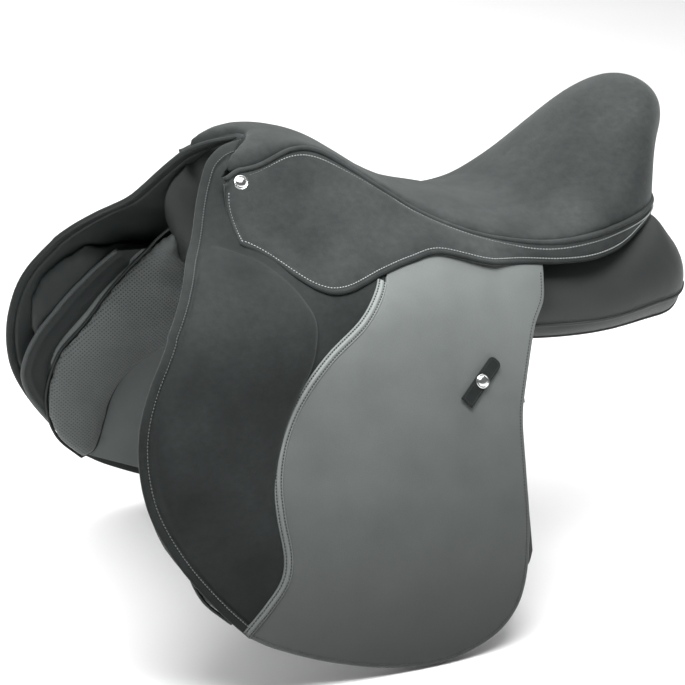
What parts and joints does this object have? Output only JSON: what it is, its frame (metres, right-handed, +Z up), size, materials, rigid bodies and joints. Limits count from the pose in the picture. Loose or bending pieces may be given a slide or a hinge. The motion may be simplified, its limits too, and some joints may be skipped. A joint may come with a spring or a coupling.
{
  "type": "english saddle",
  "caption": "English riding saddle with deep seat, forward-cut flaps with knee blocks, lifting skirts over stirrup bars, girth straps and padded panels.",
  "frame": {"origin": "on the centre plane, level with the panels' bearing faces, under the middle of the seat", "axes": "-X forward to the pommel, +X back to the cantle, -Y to the horse's left, +Y to its right, +Z up"},
  "size_m": [0.6191, 0.5082, 0.4758],
  "materials": {
    "suede": "matte suede-like synthetic, charcoal",
    "flap_leather": "smooth semi-matte synthetic leather, dark grey",
    "perforated_leather": "soft synthetic leather with a fine pattern of pressed dots",
    "panel_leather": "soft matte synthetic leather",
    "strap_leather": "stiff strap leather, near black",
    "silver": "polished silver",
    "steel": "brushed stainless steel",
    "polymer": "moulded black polymer",
    "foam": "open-cell foam",
    "webbing": "woven nylon"
  },
  "bodies": {
    "saddle": {"tree": "polymer", "gullet_plate": "steel", "gullet_screw_left_upper": "steel", "gullet_screw_left_lower": "steel", "gullet_screw_right_upper": "steel", "gullet_screw_right_lower": "steel", "arch_lining": "panel_leather", "seat_cover": "suede", "seat_foam": "foam", "seat_welt": "suede", "girth_web_front": "webbing", "girth_web_rear": "webbing", "skirt_band_left": "suede", "skirt_stud_left": "silver", "flap_head_left": "suede", "sweat_flap_left": "flap_leather", "knee_pad_left": "perforated_leather", "panel_left": "panel_leather", "stirrup_bar_left": "steel", "catch_pin_left": "steel", "bar_rivet_front_left": "steel", "bar_rivet_rear_left": "steel", "skirt_band_right": "suede", "skirt_stud_right": "silver", "flap_head_right": "suede", "sweat_flap_right": "flap_leather", "knee_pad_right": "perforated_leather", "panel_right": "panel_leather", "stirrup_bar_right": "steel", "catch_pin_right": "steel", "bar_rivet_front_right": "steel", "bar_rivet_rear_right": "steel"},
    "skirt_left": {"skirt_left": "suede"},
    "flap_left": {"flap_front_left": "suede", "flap_rear_left": "flap_leather", "knee_block_left": "foam", "keeper_post_left": "steel"},
    "keeper_left": {"keeper_strap_left": "suede", "keeper_stud_left": "silver"},
    "catch_left": {"bar_catch_left": "steel"},
    "straps_left": {"girth_strap_front_left": "strap_leather", "girth_strap_middle_left": "strap_leather", "girth_strap_rear_left": "strap_leather"},
    "guard_left": {"buckle_guard_left": "strap_leather"},
    "skirt_right": {"skirt_right": "suede"},
    "flap_right": {"flap_front_right": "suede", "flap_rear_right": "flap_leather", "knee_block_right": "foam", "keeper_post_right": "steel"},
    "keeper_right": {"keeper_strap_right": "suede", "keeper_stud_right": "silver"},
    "catch_right": {"bar_catch_right": "steel"},
    "straps_right": {"girth_strap_front_right": "strap_leather", "girth_strap_middle_right": "strap_leather", "girth_strap_rear_right": "strap_leather"},
    "guard_right": {"buckle_guard_right": "strap_leather"}
  },
  "joints": [
    {"name": "skirt_lift_left", "type": "hinge", "parent": "saddle", "child": "skirt_left", "pos_m": [-0.131, -0.089, 0.1425], "axis": [-0.9437, 0.2215, 0.2456], "range_deg": [0, 100]},
    {"name": "flap_lift_left", "type": "hinge", "parent": "saddle", "child": "flap_left", "pos_m": [-0.129, -0.15635, 0.08], "axis": [-0.9946, -0.1036, 0], "range_deg": [0, 85]},
    {"name": "keeper_open_left", "type": "hinge", "parent": "flap_left", "child": "keeper_left", "pos_m": [-0.04519, -0.19422, -0.01671], "axis": [0.6849, -0.1941, -0.7023], "range_deg": [0, 120]},
    {"name": "catch_turn_left", "type": "hinge", "parent": "saddle", "child": "catch_left", "pos_m": [-0.091, -0.079, 0.12], "axis": [0, -1, 0], "range_deg": [0, 75]},
    {"name": "straps_swing_left", "type": "hinge", "parent": "saddle", "child": "straps_left", "pos_m": [-0.036, -0.14185, 0.074], "axis": [0.0876, -0.9217, 0.3779], "range_deg": [-4, 4]},
    {"name": "guard_slide_left", "type": "slide", "parent": "straps_left", "child": "guard_left", "axis": [0, 0.3794, 0.9252], "range_m": [0, 0.036]},
    {"name": "skirt_lift_right", "type": "hinge", "parent": "saddle", "child": "skirt_right", "pos_m": [-0.131, 0.089, 0.1425], "axis": [0.9437, 0.2215, -0.2456], "range_deg": [0, 100]},
    {"name": "flap_lift_right", "type": "hinge", "parent": "saddle", "child": "flap_right", "pos_m": [-0.129, 0.15635, 0.08], "axis": [0.9946, -0.1036, 0], "range_deg": [0, 85]},
    {"name": "keeper_open_right", "type": "hinge", "parent": "flap_right", "child": "keeper_right", "pos_m": [-0.04519, 0.19422, -0.01671], "axis": [-0.6849, -0.1941, 0.7023], "range_deg": [0, 120]},
    {"name": "catch_turn_right", "type": "hinge", "parent": "saddle", "child": "catch_right", "pos_m": [-0.091, 0.079, 0.12], "axis": [0, -1, 0], "range_deg": [0, 75]},
    {"name": "straps_swing_right", "type": "hinge", "parent": "saddle", "child": "straps_right", "pos_m": [-0.036, 0.14185, 0.074], "axis": [-0.0876, -0.9217, -0.3779], "range_deg": [-4, 4]},
    {"name": "guard_slide_right", "type": "slide", "parent": "straps_right", "child": "guard_right", "axis": [0, -0.3794, 0.9252], "range_m": [0, 0.036]}
  ]
}
